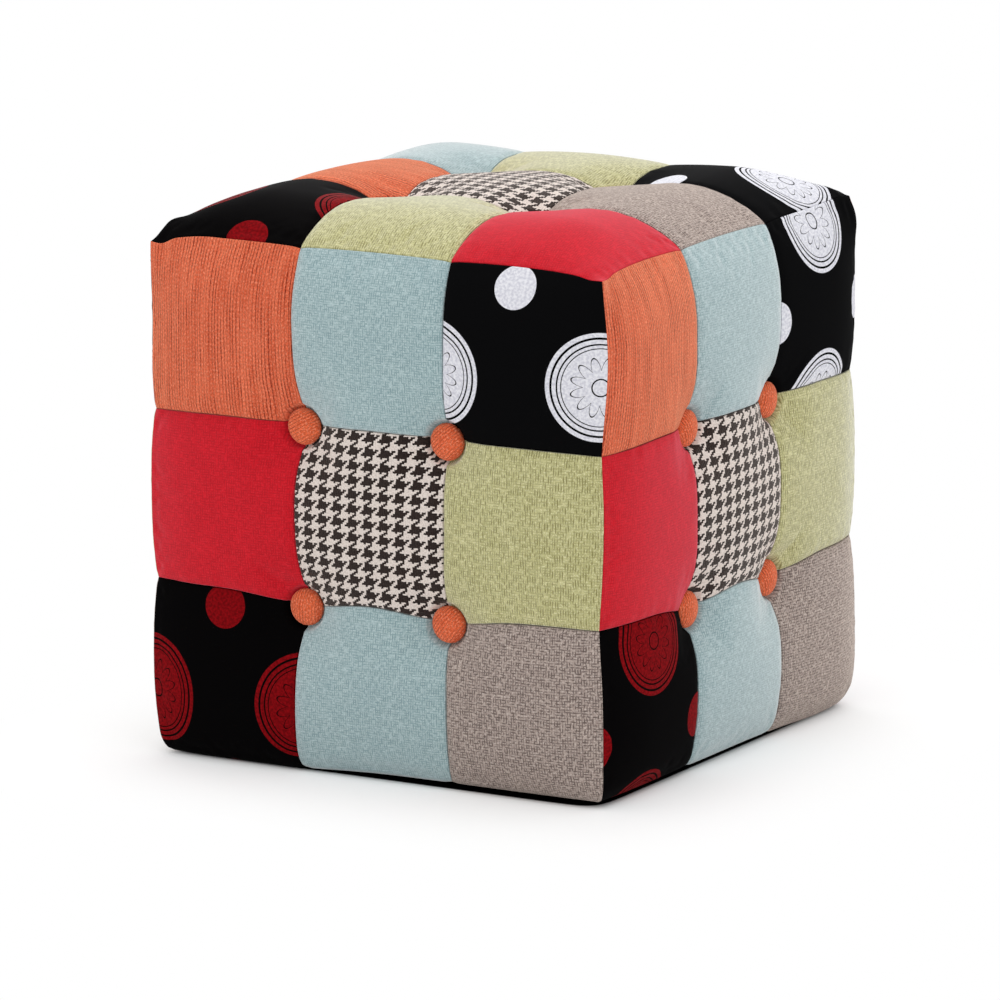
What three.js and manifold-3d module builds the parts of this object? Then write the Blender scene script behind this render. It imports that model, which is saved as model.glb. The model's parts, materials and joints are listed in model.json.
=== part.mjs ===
// Patchwork tuffet: a padded cube stool. A boarded softwood frame carries foam slabs and five
// tufted patchwork covers, and covered buttons are tied through cover, foam and board.
// Millimetres, +Z up, origin on the floor under the middle. The front faces -Y, the right side +X.

import * as THREE from 'three';
import { mergeVertices } from 'three/addons/utils/BufferGeometryUtils.js';
import Module from 'manifold-3d';

const wasm = await Module();
wasm.setup();

// Sewn cube
const seamWidth = 330; // corner to corner of the cover, both ways
const seamHeight = 335; // top corners of the cover above the floor
const waddingDepth = 14.7; // padding between the corner plane and the foam
const seamShares = [1 / 3, 2 / 3]; // where the patches of a face are joined

// Clearances
const fitGap = 0.3; // between pieces that touch
const twineClearance = 0.7; // round a button's twine
const nailClearance = 0.5; // round a glide's nail
const seatClearance = 1.1; // round a button's cap in its seat
const cutOverrun = 5; // how far a cutter runs past what it cuts

// Foam and frame
const sideFoam = 15;
const seatFoam = 50;
const boardThickness = 9;
const postSize = 36;
const railHeight = 40;
const railThickness = 20;
const housingDepth = 4; // how deep a rail's end sits in its post

// Underside
const glideHeight = 2.4;
const glideRadius = 8;
const glideTaper = 1.2;
const nailRadius = 1.25;
const nailLength = 16;
const dustCoverThickness = 0.8;
const dustCoverLap = 14; // how far it covers the turned hem
const hemThickness = 1.2;
const hemLap = 9.4; // how far the hem reaches under the posts and rails

// Buttons
const buttonRadius = 12;
const buttonHeight = 7;
const buttonEdge = 2.2; // height of the cap's rounded rim
const twineRadius = 1.5;
const washerRadius = 7;
const washerThickness = 2;
const buttonDraw = 2.5; // how far each button pulls its seam crossing to the middle of the face
const lowerRowSag = 8; // how far the side buttons sit below the seam rows
const upperRowSag = 1.6;

// Relief of a side, out from the corner plane
const sideBulge = 7.5; // along the seams, halfway between buttons
const sideCrown = 3.5; // more in the middle of a patch
const sidePit = 11.7; // drawn in again at a button
const sideSeatDepth = 5.2; // button seat, in from the corner plane
const sideSwellRun = 48; // distance from an edge to the full bulge

// Relief of the seat, up from the corner plane
const seatDome = 23;
const seatCrown = 3.5;
const seatPit = 13;
const seatButtonRise = 8.5; // button seat, up from the corner plane
const seatSwellRun = 62;

// Run of the seams and edges
const seamGroove = 1.6; // a sewn seam, in from the cloth beside it
const seamGrooveSpan = 1.5;
const pitSpread = 23; // how quickly a pit fades round its button
const drawSpread = 34; // how quickly the pull on the seams fades
const edgeBow = 1; // upright edges, out beside each patch
const edgePinch = 2.2; // upright edges, in at the end of each seam row
const pinchSpan = 20;
const topEdgeInset = 4.5; // top edges, in between the corners
const topEdgeRise = 3.5; // and up
const rimTuck = 4; // bottom edge, turned in halfway along
const rimTuckCorner = 6; // and at the corners
const rimCurl = 14; // height of that turn

// Grid of the cloth and facets of the round parts
const patchStepShares = [0, 0.025, 0.16, 0.38, 0.62, 0.84, 0.975];
const rimStepShares = [0, 0.035, 0.11, 0.24, 0.5, 0.8, 0.975];
const mitreEaseShare = 0.85; // of the fit gap, along the face at each mitre
const crownPower = 0.6;
const swellPower = 0.8;
const pitPower = 1.9;
const cornerPower = 6;
const seamRiseShare = 0.6; // of the top edge's rise, where a seam crosses it
const buttonSides = 12;
const seatSides = 10;
const domeSteps = 4;
const holeSides = 6;

// Levels and planes that follow
const half = seamWidth / 2;
const backHalf = half - waddingDepth;
const backTop = seamHeight - waddingDepth;
const foamOuter = backHalf - fitGap;
const foamInner = foamOuter - sideFoam;
const boardOuter = foamInner - fitGap;
const boardInner = boardOuter - boardThickness;
const postOuter = boardInner - fitGap;
const postInner = postOuter - postSize;
const postMiddle = (postOuter + postInner) / 2;
const hemInner = postOuter - hemLap;
const seatTop = backTop - fitGap;
const seatBottom = seatTop - seatFoam;
const foamTop = seatBottom - fitGap;
const topBoardBottom = foamTop - boardThickness;
const frameTop = topBoardBottom - fitGap;
const dustBottom = glideHeight + fitGap;
const dustTop = dustBottom + dustCoverThickness;
const rimHeight = dustTop + fitGap;
const hemTop = rimHeight + hemThickness;
const frameBottom = hemTop + fitGap;
const twineHole = twineRadius + twineClearance;
const nailHole = nailRadius + nailClearance;
const mitreEase = mitreEaseShare * fitGap;

// Solids and cuts

function solidOf(geometry) {
  const bare = geometry.clone();
  bare.deleteAttribute('normal');
  bare.deleteAttribute('uv');
  const merged = mergeVertices(bare);
  return new wasm.Manifold(new wasm.Mesh({
    numProp: 3,
    vertProperties: merged.attributes.position.array,
    triVerts: new Uint32Array(merged.index.array),
  }));
}

function geometryOf(solid) {
  const mesh = solid.getMesh();
  const geometry = new THREE.BufferGeometry();
  geometry.setAttribute('position', new THREE.BufferAttribute(mesh.vertProperties, mesh.numProp));
  geometry.setIndex(new THREE.BufferAttribute(mesh.triVerts, 1));
  const faceted = geometry.toNonIndexed();
  faceted.computeVertexNormals();
  return faceted;
}

function cutFrom(geometry, cutters) {
  let solid = solidOf(geometry);
  for (const cutter of cutters) solid = solid.subtract(solidOf(cutter));
  return geometryOf(solid);
}

function boxBetween(low, high) {
  const size = high.map((value, axis) => value - low[axis]);
  const middle = high.map((value, axis) => (value + low[axis]) / 2);
  return new THREE.BoxGeometry(...size).translate(...middle);
}

// A round cutter from one point to another along Y, or along Z.
function boreAlongY(radius, x, z, fromY, toY, sides) {
  const bore = new THREE.CylinderGeometry(radius, radius, toY - fromY, sides);
  return bore.translate(x, (fromY + toY) / 2, z);
}

function boreAlongZ(radius, x, y, fromZ, toZ, sides) {
  const bore = new THREE.CylinderGeometry(radius, radius, toZ - fromZ, sides);
  return bore.rotateX(Math.PI / 2).translate(x, y, (fromZ + toZ) / 2);
}

// Shares along a face: fine steps inside each patch, and the seams themselves.
function gridShares(firstSteps) {
  const bounds = [0, ...seamShares, 1];
  const shares = [];
  for (let patch = 0; patch + 1 < bounds.length; patch += 1) {
    const steps = patch === 0 ? firstSteps : patchStepShares;
    for (const step of steps) shares.push(THREE.MathUtils.lerp(bounds[patch], bounds[patch + 1], step));
  }
  return [...shares, 1];
}

// 0 on a seam or an edge, 1 in the middle of a patch.
function crownAt(share) {
  const bounds = [0, ...seamShares, 1];
  const patch = Math.max(0, bounds.findLastIndex((bound) => bound < share));
  const within = (share - bounds[patch]) / (bounds[patch + 1] - bounds[patch]);
  return Math.sin(Math.PI * THREE.MathUtils.clamp(within, 0, 1)) ** crownPower;
}

// 0 at an edge, 1 from one swell run inwards.
function swellAt(distance, run) {
  return Math.sin(Math.PI / 2 * THREE.MathUtils.clamp(distance / run, 0, 1)) ** swellPower;
}

// 1 on a seam, 0 beside it, for a point at a share of a face this wide.
function grooveAt(share, width) {
  return seamShares.reduce((sum, seam) => (
    sum + Math.exp(-((((share - seam) * width) / seamGrooveSpan) ** 2))), 0);
}

function pitAt(distance) {
  return Math.exp(-((distance / pitSpread) ** pitPower));
}

// Edges that neighbouring covers share, by the share along them from -1 to 1

function roundOff(along) {
  return 1 - Math.abs(along) ** cornerPower;
}

function topInset(along) {
  return topEdgeInset * roundOff(along);
}

function topRise(along) {
  const patchLift = seamRiseShare + (1 - seamRiseShare) * crownAt((along + 1) / 2);
  return topEdgeRise * roundOff(along) * patchLift;
}

function uprightBow(upShare) {
  const pinch = seamShares.reduce((sum, seam) => {
    const distance = (upShare - seam) * (seamHeight - rimHeight);
    return sum + Math.exp(-((distance / pinchSpan) ** 2));
  }, 0);
  return edgeBow * crownAt(upShare) - edgePinch * pinch;
}

function rimTurn(along, height) {
  const tuck = rimTuckCorner + (rimTuck - rimTuckCorner) * roundOff(along);
  const below = 1 - THREE.MathUtils.clamp((height - rimHeight) / rimCurl, 0, 1);
  return tuck * (1 - Math.sqrt(1 - below * below));
}

// Where the buttons sit, and the seam crossings that they pull on

function sideButtons() {
  const sags = [lowerRowSag, upperRowSag];
  return seamShares.flatMap((up, row) => seamShares.map((across, column) => {
    const crossing = new THREE.Vector2(
      (2 * across - 1) * half,
      THREE.MathUtils.lerp(rimHeight, seamHeight, up),
    );
    const inward = -Math.sign(crossing.x) * buttonDraw;
    const place = crossing.clone().add(new THREE.Vector2(inward, -sags[row]));
    return { name: `${['lower', 'upper'][row]}_${['left', 'right'][column]}`, crossing, place };
  }));
}

function seatButtons() {
  return seamShares.flatMap((up, row) => seamShares.map((across, column) => {
    const crossing = new THREE.Vector2((2 * across - 1) * half, (2 * up - 1) * half);
    const inward = new THREE.Vector2(-Math.sign(crossing.x), -Math.sign(crossing.y));
    const place = crossing.clone().addScaledVector(inward, buttonDraw);
    return { name: `${['front', 'back'][row]}_${['left', 'right'][column]}`, crossing, place };
  }));
}

function drawnTo(buttons, point) {
  const drawn = point.clone();
  for (const { crossing, place } of buttons) {
    const pull = Math.exp(-((point.distanceTo(crossing) / drawSpread) ** 2));
    drawn.addScaledVector(place.clone().sub(crossing), pull);
  }
  return drawn;
}

function pitsOf(buttons, point) {
  return buttons.reduce((sum, { place }) => sum + pitAt(point.distanceTo(place)), 0);
}

// The outer cloth: one point of the front cover, and one of the seat

function sidePoint(acrossShare, upShare) {
  const along = 2 * acrossShare - 1;
  const top = seamHeight + topRise(along);
  const height = THREE.MathUtils.lerp(rimHeight, top, upShare);
  const bow = uprightBow(upShare);
  const across = along * (half + bow - rimTurn(1, height));
  const flat = drawnTo(sideButtons(), new THREE.Vector2(across, height));

  const fromSide = swellAt(half * (1 - Math.abs(along)), sideSwellRun);
  const fromTop = swellAt(top - height, sideSwellRun);
  const fromRim = swellAt(height - rimHeight, sideSwellRun);
  const swell = fromSide * fromTop * fromRim;
  const crown = crownAt(acrossShare) * crownAt(upShare);
  const groove = grooveAt(acrossShare, seamWidth) + grooveAt(upShare, seamHeight - rimHeight);
  const relief = sideBulge * swell + sideCrown * crown - seamGroove * groove * swell
    - sidePit * pitsOf(sideButtons(), flat);
  const edges = bow * (1 - fromSide) - topInset(along) * (1 - fromTop) - rimTurn(along, height);
  return new THREE.Vector3(flat.x, -(half + edges + relief), flat.y);
}

function seatPoint(acrossShare, deepShare) {
  const along = 2 * acrossShare - 1;
  const deep = 2 * deepShare - 1;
  const fromSide = swellAt(half * (1 - Math.abs(along)), seatSwellRun);
  const fromFront = swellAt(half * (1 - Math.abs(deep)), seatSwellRun);
  const x = along * half - Math.sign(along) * topInset(deep) * (1 - fromSide);
  const y = deep * half - Math.sign(deep) * topInset(along) * (1 - fromFront);
  const flat = drawnTo(seatButtons(), new THREE.Vector2(x, y));

  const edges = topRise(along) * (1 - fromFront) + topRise(deep) * (1 - fromSide);
  const crown = crownAt(acrossShare) * crownAt(deepShare);
  const swell = fromSide * fromFront;
  const groove = grooveAt(acrossShare, seamWidth) + grooveAt(deepShare, seamWidth);
  const relief = seatDome * swell + seatCrown * crown - seamGroove * groove * swell
    - seatPit * pitsOf(seatButtons(), flat);
  return new THREE.Vector3(flat.x, flat.y, seamHeight + edges + relief);
}

// A cover is one closed shell. Its cloth is a grid of points, rows from the bottom up. Its back has
// a row for each row of cloth, whose border points are joined to the cloth by the side walls and
// spanned by flat panels, each from one row of the back to another.
function coverShell(cloth, back, panels) {
  const points = [];
  const triangle = (a, b, c) => points.push(a, b, c);
  for (let row = 0; row + 1 < cloth.length; row += 1) {
    const [low, high] = [cloth[row], cloth[row + 1]];
    for (let column = 0; column + 1 < low.length; column += 1) {
      triangle(low[column], low[column + 1], high[column + 1]);
      triangle(low[column], high[column + 1], high[column]);
    }
  }
  const backBorder = borderOf(back);
  borderOf(cloth).forEach((edge, side) => addWall(triangle, edge, backBorder[side]));
  for (const [from, to] of panels) addPanel(triangle, back, from, to);
  const geometry = new THREE.BufferGeometry().setFromPoints(points);
  geometry.computeVertexNormals();
  return geometry;
}

// The four edges of a grid of points, anticlockwise from the bottom left.
function borderOf(rows) {
  return [
    rows[0],
    rows.map((row) => row[row.length - 1]),
    [...rows[rows.length - 1]].reverse(),
    rows.map((row) => row[0]).reverse(),
  ];
}

// Each diagonal leans from the corner at the cloth to the middle at the back, so that the walls of
// two neighbours twist alike.
function addWall(triangle, edge, ring) {
  for (let at = 0; at + 1 < edge.length; at += 1) {
    const beforeMiddle = 2 * at + 1 < edge.length - 1;
    const [clothEnd, backEnd] = beforeMiddle ? [edge[at], ring[at + 1]] : [edge[at + 1], ring[at]];
    triangle(edge[at + 1], edge[at], backEnd);
    triangle(clothEnd, ring[at], ring[at + 1]);
  }
}

function addPanel(triangle, back, from, to) {
  const rows = back.slice(from, to + 1);
  const loop = rows.map((row) => row[0]);
  if (to === back.length - 1) loop.push(...back[to].slice(1, -1));
  loop.push(...rows.map((row) => row[row.length - 1]).reverse());
  if (from === 0) loop.push(...back[0].slice(1, -1).reverse());
  const middle = new THREE.Vector3();
  for (const point of loop) middle.addScaledVector(point, 1 / loop.length);
  loop.forEach((point, at) => triangle(middle, point, loop[(at + 1) % loop.length]));
}

// Draws the two upright borders of a cover in from the mitre.
function easeSides(row) {
  for (const point of [row[0], row[row.length - 1]]) point.x -= Math.sign(point.x) * mitreEase;
  return row;
}

function sideCoverShell() {
  const acrossShares = gridShares(patchStepShares);
  const upShares = gridShares(rimStepShares);
  const levelRow = (reach, height) => easeSides(acrossShares.map((across) => (
    new THREE.Vector3((2 * across - 1) * reach, -reach, height))));

  const wall = upShares.map((up) => easeSides(acrossShares.map((across) => sidePoint(across, up))));
  for (const point of wall[wall.length - 1]) point.z -= mitreEase;
  const cloth = [levelRow(hemInner, rimHeight), ...wall];

  const backLevel = (up) => THREE.MathUtils.lerp(hemTop, backTop - mitreEase, up);
  const back = [levelRow(hemInner, hemTop), ...upShares.map((up) => levelRow(backHalf, backLevel(up)))];
  return coverShell(cloth, back, [[0, 1], [1, back.length - 1]]);
}

function seatCoverShell() {
  const shares = gridShares(patchStepShares);
  const grid = (pointAt) => {
    const rows = shares.map((deep) => easeSides(shares.map((across) => pointAt(across, deep))));
    for (const point of rows[0]) point.y += mitreEase;
    for (const point of rows[rows.length - 1]) point.y -= mitreEase;
    return rows;
  };
  const backPoint = (across, deep) => (
    new THREE.Vector3((2 * across - 1) * backHalf, (2 * deep - 1) * backHalf, backTop));
  return coverShell(grid(seatPoint), grid(backPoint), [[0, shares.length - 1]]);
}

// Covers with a round seat and a twine hole for each button

function sideCover() {
  const seat = half - sideSeatDepth;
  const clear = half + sideBulge + cutOverrun;
  const cutters = sideButtons().flatMap(({ place }) => [
    boreAlongY(buttonRadius + seatClearance, place.x, place.y, -clear, -seat, seatSides),
    boreAlongY(twineHole, place.x, place.y, -clear, cutOverrun - backHalf, holeSides),
  ]);
  return cutFrom(sideCoverShell(), cutters);
}

function seatCover() {
  const seat = seamHeight + seatButtonRise;
  const clear = seamHeight + seatDome + cutOverrun;
  const cutters = seatButtons().flatMap(({ place }) => [
    boreAlongZ(buttonRadius + seatClearance, place.x, place.y, seat, clear, seatSides),
    boreAlongZ(twineHole, place.x, place.y, backTop - cutOverrun, clear, holeSides),
  ]);
  return cutFrom(seatCoverShell(), cutters);
}

// Slabs behind the covers. Each side's slab laps the end of the next one round the box.

function sideSlab(outer, inner, top) {
  const slab = boxBetween([-outer, -outer, frameBottom], [inner - fitGap, -inner, top]);
  return cutFrom(slab, sideButtons().map(({ place }) => (
    boreAlongY(twineHole, place.x, place.y, -outer - cutOverrun, cutOverrun - inner, holeSides))));
}

function seatSlab(reach, bottom, top) {
  const slab = boxBetween([-reach, -reach, bottom], [reach, reach, top]);
  return cutFrom(slab, seatButtons().map(({ place }) => (
    boreAlongZ(twineHole, place.x, place.y, bottom - cutOverrun, top + cutOverrun, holeSides))));
}

// Frame: the post stands at the front left corner of its side, and takes one end of two rails.

function post() {
  const block = boxBetween([-postOuter, -postOuter, frameBottom], [-postInner, -postInner, frameTop]);
  const under = frameBottom - cutOverrun;
  const housingEnd = postInner + housingDepth;
  const housingSide = postOuter - railThickness - fitGap;
  const housingTop = frameBottom + railHeight + fitGap;
  return cutFrom(block, [
    boxBetween(
      [-housingEnd, -postOuter - cutOverrun, under],
      [cutOverrun - postInner, -housingSide, housingTop],
    ),
    boxBetween(
      [-postOuter - cutOverrun, -housingEnd, under],
      [-housingSide, cutOverrun - postInner, housingTop],
    ),
    boreAlongZ(nailHole, -postMiddle, -postMiddle, under, glideHeight + nailLength + fitGap, holeSides),
  ]);
}

function rail() {
  const end = postInner + housingDepth - fitGap;
  return boxBetween(
    [-end, -postOuter, frameBottom],
    [end, railThickness - postOuter, frameBottom + railHeight],
  );
}

function dustCover() {
  const reach = hemInner + dustCoverLap;
  const holes = [];
  for (const x of [-postMiddle, postMiddle]) {
    for (const y of [-postMiddle, postMiddle]) {
      holes.push(boreAlongZ(nailHole, x, y, dustBottom - cutOverrun, dustTop + cutOverrun, holeSides));
    }
  }
  return cutFrom(boxBetween([-reach, -reach, dustBottom], [reach, reach, dustTop]), holes);
}

// Turned parts, with +Y as their axis

function turned(profile, sides) {
  return new THREE.LatheGeometry(profile.map(([radius, level]) => new THREE.Vector2(radius, level)), sides);
}

function glide() {
  return turned([
    [0, 0],
    [glideRadius - glideTaper, 0],
    [glideRadius, glideHeight],
    [nailRadius, glideHeight],
    [nailRadius, glideHeight + nailLength - nailRadius],
    [0, glideHeight + nailLength],
  ], buttonSides);
}

// A domed cap on its twine, with the washer that the twine is tied off to. The cap's underside is
// at level 0, and the twine is as long as what it passes through.
function button(twineLength) {
  const rise = buttonHeight - buttonEdge;
  const dome = [];
  for (let step = 0; step <= domeSteps; step += 1) {
    const angle = (Math.PI / 2) * (step / domeSteps);
    const radius = step === domeSteps ? 0 : buttonRadius * Math.cos(angle);
    dome.push([radius, buttonEdge + rise * Math.sin(angle)]);
  }
  return turned([
    [0, -twineLength - washerThickness],
    [washerRadius, -twineLength - washerThickness],
    [washerRadius, -twineLength],
    [twineRadius, -twineLength],
    [twineRadius, 0],
    [buttonRadius - buttonEdge, 0],
    ...dome,
  ], buttonSides);
}

// Finishes, from the photograph

const finishes = {
  patchwork: { color: 0xa3c0c3, roughness: 0.9, metalness: 0 },
  buttonCloth: { color: 0xde6038, roughness: 0.9, metalness: 0 },
  foam: { color: 0xe9e2c8, roughness: 0.95, metalness: 0 },
  board: { color: 0xb08d62, roughness: 0.8, metalness: 0 },
  softwood: { color: 0xd0ab77, roughness: 0.75, metalness: 0 },
  dustCloth: { color: 0x141414, roughness: 0.95, metalness: 0 },
  glidePlastic: { color: 0x1c1c1d, roughness: 0.5, metalness: 0 },
};

function piece(name, geometry, finish) {
  const mesh = new THREE.Mesh(geometry, new THREE.MeshStandardMaterial(finishes[finish]));
  mesh.name = name;
  return mesh;
}

// Assembly

const shared = {
  sideCover: sideCover(),
  sideFoam: sideSlab(foamOuter, foamInner, foamTop),
  sideBoard: sideSlab(boardOuter, boardInner, frameTop),
  post: post(),
  rail: rail(),
  glide: glide(),
  sideButton: button(half - sideSeatDepth + fitGap - boardInner + fitGap),
  seatButton: button(seamHeight + seatButtonRise + fitGap - topBoardBottom + fitGap),
};

function sideGroup(side, corner) {
  const group = new THREE.Group();
  group.add(piece(`${side}_cover`, shared.sideCover, 'patchwork'));
  group.add(piece(`${side}_foam`, shared.sideFoam, 'foam'));
  group.add(piece(`${side}_board`, shared.sideBoard, 'board'));
  group.add(piece(`${side}_rail`, shared.rail, 'softwood'));
  group.add(piece(`post_${corner}`, shared.post, 'softwood'));

  const foot = piece(`glide_${corner}`, shared.glide, 'glidePlastic');
  foot.position.set(-postMiddle, -postMiddle, 0);
  foot.rotation.x = Math.PI / 2;
  group.add(foot);

  for (const { name, place } of sideButtons()) {
    const cap = piece(`${side}_button_${name}`, shared.sideButton, 'buttonCloth');
    cap.position.set(place.x, sideSeatDepth - half - fitGap, place.y);
    cap.rotation.x = Math.PI;
    group.add(cap);
  }
  return group;
}

function seatGroup() {
  const group = new THREE.Group();
  group.add(piece('top_cover', seatCover(), 'patchwork'));
  group.add(piece('seat_foam', seatSlab(foamOuter, seatBottom, seatTop), 'foam'));
  group.add(piece('top_board', seatSlab(boardOuter, topBoardBottom, foamTop), 'board'));
  for (const { name, place } of seatButtons()) {
    const cap = piece(`top_button_${name}`, shared.seatButton, 'buttonCloth');
    cap.position.set(place.x, place.y, seamHeight + seatButtonRise + fitGap);
    cap.rotation.x = Math.PI / 2;
    group.add(cap);
  }
  return group;
}

const tuffet = new THREE.Group();
const sides = [
  ['front', 'front_left'],
  ['right', 'front_right'],
  ['back', 'back_right'],
  ['left', 'back_left'],
];
sides.forEach(([side, corner], turn) => {
  const group = sideGroup(side, corner);
  group.rotation.z = turn * (Math.PI / 2);
  tuffet.add(group);
});
tuffet.add(seatGroup());
tuffet.add(piece('dust_cover', dustCover(), 'dustCloth'));

export default tuffet;
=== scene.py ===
import json
import math
import random

import bmesh
import bpy
import numpy as np
from mathutils import Matrix, Vector

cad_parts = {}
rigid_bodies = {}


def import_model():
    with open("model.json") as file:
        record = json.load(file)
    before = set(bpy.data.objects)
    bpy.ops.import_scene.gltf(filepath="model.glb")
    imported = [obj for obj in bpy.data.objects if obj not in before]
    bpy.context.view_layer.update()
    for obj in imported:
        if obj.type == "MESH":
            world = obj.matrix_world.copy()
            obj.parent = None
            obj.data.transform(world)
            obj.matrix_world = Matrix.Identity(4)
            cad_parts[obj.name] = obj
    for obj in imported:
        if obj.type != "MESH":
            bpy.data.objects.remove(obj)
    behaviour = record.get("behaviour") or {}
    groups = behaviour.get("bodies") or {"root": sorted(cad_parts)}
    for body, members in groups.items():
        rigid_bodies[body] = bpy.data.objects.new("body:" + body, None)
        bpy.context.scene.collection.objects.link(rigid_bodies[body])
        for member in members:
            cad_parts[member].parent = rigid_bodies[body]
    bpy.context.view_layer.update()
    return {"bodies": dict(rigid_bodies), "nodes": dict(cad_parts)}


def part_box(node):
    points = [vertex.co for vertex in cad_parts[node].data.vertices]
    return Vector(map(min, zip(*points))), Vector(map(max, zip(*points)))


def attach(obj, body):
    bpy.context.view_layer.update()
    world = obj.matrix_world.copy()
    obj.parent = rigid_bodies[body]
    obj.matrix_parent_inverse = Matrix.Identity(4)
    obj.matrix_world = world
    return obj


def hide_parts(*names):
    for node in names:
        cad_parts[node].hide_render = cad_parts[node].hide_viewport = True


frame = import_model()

mm = 0.001
body = next(iter(frame["bodies"]))
sideNames = ("front", "right", "back", "left")  # each a quarter turn on from the last
faceNames = (*sideNames, "top")
columnNames = ("left", "middle", "right")


# Shared tools

def perFace(side, top):
    # the four sides share a value and the top has its own
    return dict.fromkeys(sideNames, side) | {"top": top}


rowNames = perFace(("lower", "middle", "upper"), ("front", "middle", "back"))
flatAxes = perFace((0, 2), (0, 1))  # across and up a face, the sides in the front's place
outAxis = perFace((1, -1), (2, 1))  # the axis and sense in which it looks outwards


def smooth(share):
    share = np.clip(share, 0, 1)
    return share * share * (3 - 2 * share)


def mixed(low, high, share):
    return low + (high - low) * share


def turned(points, quarters):
    # points of the front side, turned about the middle to another side
    angle = math.radians(90) * quarters
    cos, sin = math.cos(angle), math.sin(angle)
    return points @ np.array(((cos, -sin, 0), (sin, cos, 0), (0, 0, 1))).T


def only(kind, made):
    return [item for item in made if isinstance(item, kind)]


def coordinates(mesh):
    points = np.zeros(len(mesh.vertices) * 3)
    mesh.vertices.foreach_get("co", points)
    return points.reshape(-1, 3)


def gridShares(mesh):
    # where a plain grid's points lie, as shares of its width and height
    return (coordinates(mesh)[:, :2] + 1) / 2


def placed(name, bm, materials):
    # a finished mesh as a piece of the tuffet
    mesh = bpy.data.meshes.new(name)
    bm.to_mesh(mesh)
    bm.free()
    for material in materials:
        mesh.materials.append(material)
    mesh.shade_smooth()
    piece = bpy.data.objects.new(name, mesh)
    bpy.context.scene.collection.objects.link(piece)
    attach(piece, body)
    return piece


# The cover's cloth, as the frame's covers have it

cover = {
    "half": 165 * mm,  # middle to corner, both ways
    "top": 335 * mm,  # top corners above the floor
    "rim": 3.8 * mm,  # bottom edge above the floor
    "seams": (1 / 3, 2 / 3),
    "backHalf": 150.3 * mm,  # the foam that the padding lies on
    "backTop": 320.3 * mm,
    "hemTop": 5 * mm,
    "hemInner": 116 * mm,
    "edgeBow": 1 * mm,
    "edgePinch": 1 * mm,
    "pinchSpan": 20 * mm,
    "topInset": 4.5 * mm,
    "topRise": 3.5 * mm,
    "seamRiseShare": 0.6,
    "cornerPower": 6,
    "rimTuck": 4 * mm,
    "rimTuckCorner": 6 * mm,
    "rimCurl": 14 * mm,
    "drawSpread": 34 * mm,
    "pitSpread": 23 * mm,
    "pitPower": 1.9,
    "crownPower": 0.6,
    "swellPower": 0.8,
    "earDip": 1.2 * mm,  # the top edges dip beside each corner
    "earPlace": 10 * mm,
    "earSpread": 6.5 * mm,
}
sideTuft = {"bulge": 7.5 * mm, "crown": 3.5 * mm, "pit": 11.7 * mm, "run": 48 * mm}
seatTuft = {"bulge": 23 * mm, "crown": 3.5 * mm, "pit": 13 * mm, "run": 62 * mm}


def buttonNames(face):
    return [f"{face}_button_{row}_{column}" for row in rowNames[face][::2] for column in columnNames[::2]]


def buttonPlaces(face):
    boxes = [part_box(name) for name in buttonNames(face)]
    return np.array([[(low[axis] + high[axis]) / 2 for axis in flatAxes[face]] for low, high in boxes])


def crossings(half, low, high):
    # where the seams cross on a face of that half width
    seams = cover["seams"]
    return np.array([(mixed(-half, half, across), mixed(low, high, up)) for up in seams for across in seams])


sideButtons, seatButtons = buttonPlaces("front"), buttonPlaces("top")
buttonsOf = perFace(sideButtons, seatButtons)
faceRise = perFace(cover["top"] - cover["rim"], 2 * cover["half"])
sideCrossings = crossings(cover["half"], cover["rim"], cover["top"])
seatCrossings = crossings(cover["half"], -cover["half"], cover["half"])


def crownAt(share):
    place = np.interp(share, (0, *cover["seams"], 1), (0, 1, 2, 3)) % 1
    return np.sin(math.pi * place) ** cover["crownPower"]


def swellAt(distance, run):
    return np.sin(math.pi / 2 * np.clip(distance / run, 0, 1)) ** cover["swellPower"]


def roundOff(along):
    return 1 - np.abs(along) ** cover["cornerPower"]


def topRise(along):
    share = cover["seamRiseShare"]
    return cover["topRise"] * roundOff(along) * (share + (1 - share) * crownAt((along + 1) / 2))


def topInset(along):
    return cover["topInset"] * roundOff(along)


def uprightBow(up):
    height = faceRise["front"]
    pinch = sum(np.exp(-((up - seam) * height / cover["pinchSpan"]) ** 2) for seam in cover["seams"])
    return cover["edgeBow"] * crownAt(up) - cover["edgePinch"] * pinch


def rimTurn(along, height):
    tuck = mixed(cover["rimTuckCorner"], cover["rimTuck"], roundOff(along))
    below = 1 - np.clip((height - cover["rim"]) / cover["rimCurl"], 0, 1)
    return tuck * (1 - np.sqrt(1 - below * below))


def drawnTo(flat, fromPlaces, toPlaces):
    # seam crossings are pulled to their buttons
    drawn = flat.copy()
    for start, end in zip(fromPlaces, toPlaces):
        distance = np.linalg.norm(flat - start, axis=-1)
        drawn += (end - start) * np.exp(-(distance / cover["drawSpread"]) ** 2)[..., None]
    return drawn


def tufted(tuft, swell, crown, flat, places):
    # how far the padding stands out: full in the middle, crowned in each patch and drawn in at its buttons
    distances = [np.linalg.norm(flat - place, axis=-1) for place in places]
    pits = sum(np.exp(-(distance / cover["pitSpread"]) ** cover["pitPower"]) for distance in distances)
    return tuft["bulge"] * swell + tuft["crown"] * crown - tuft["pit"] * pits


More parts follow.
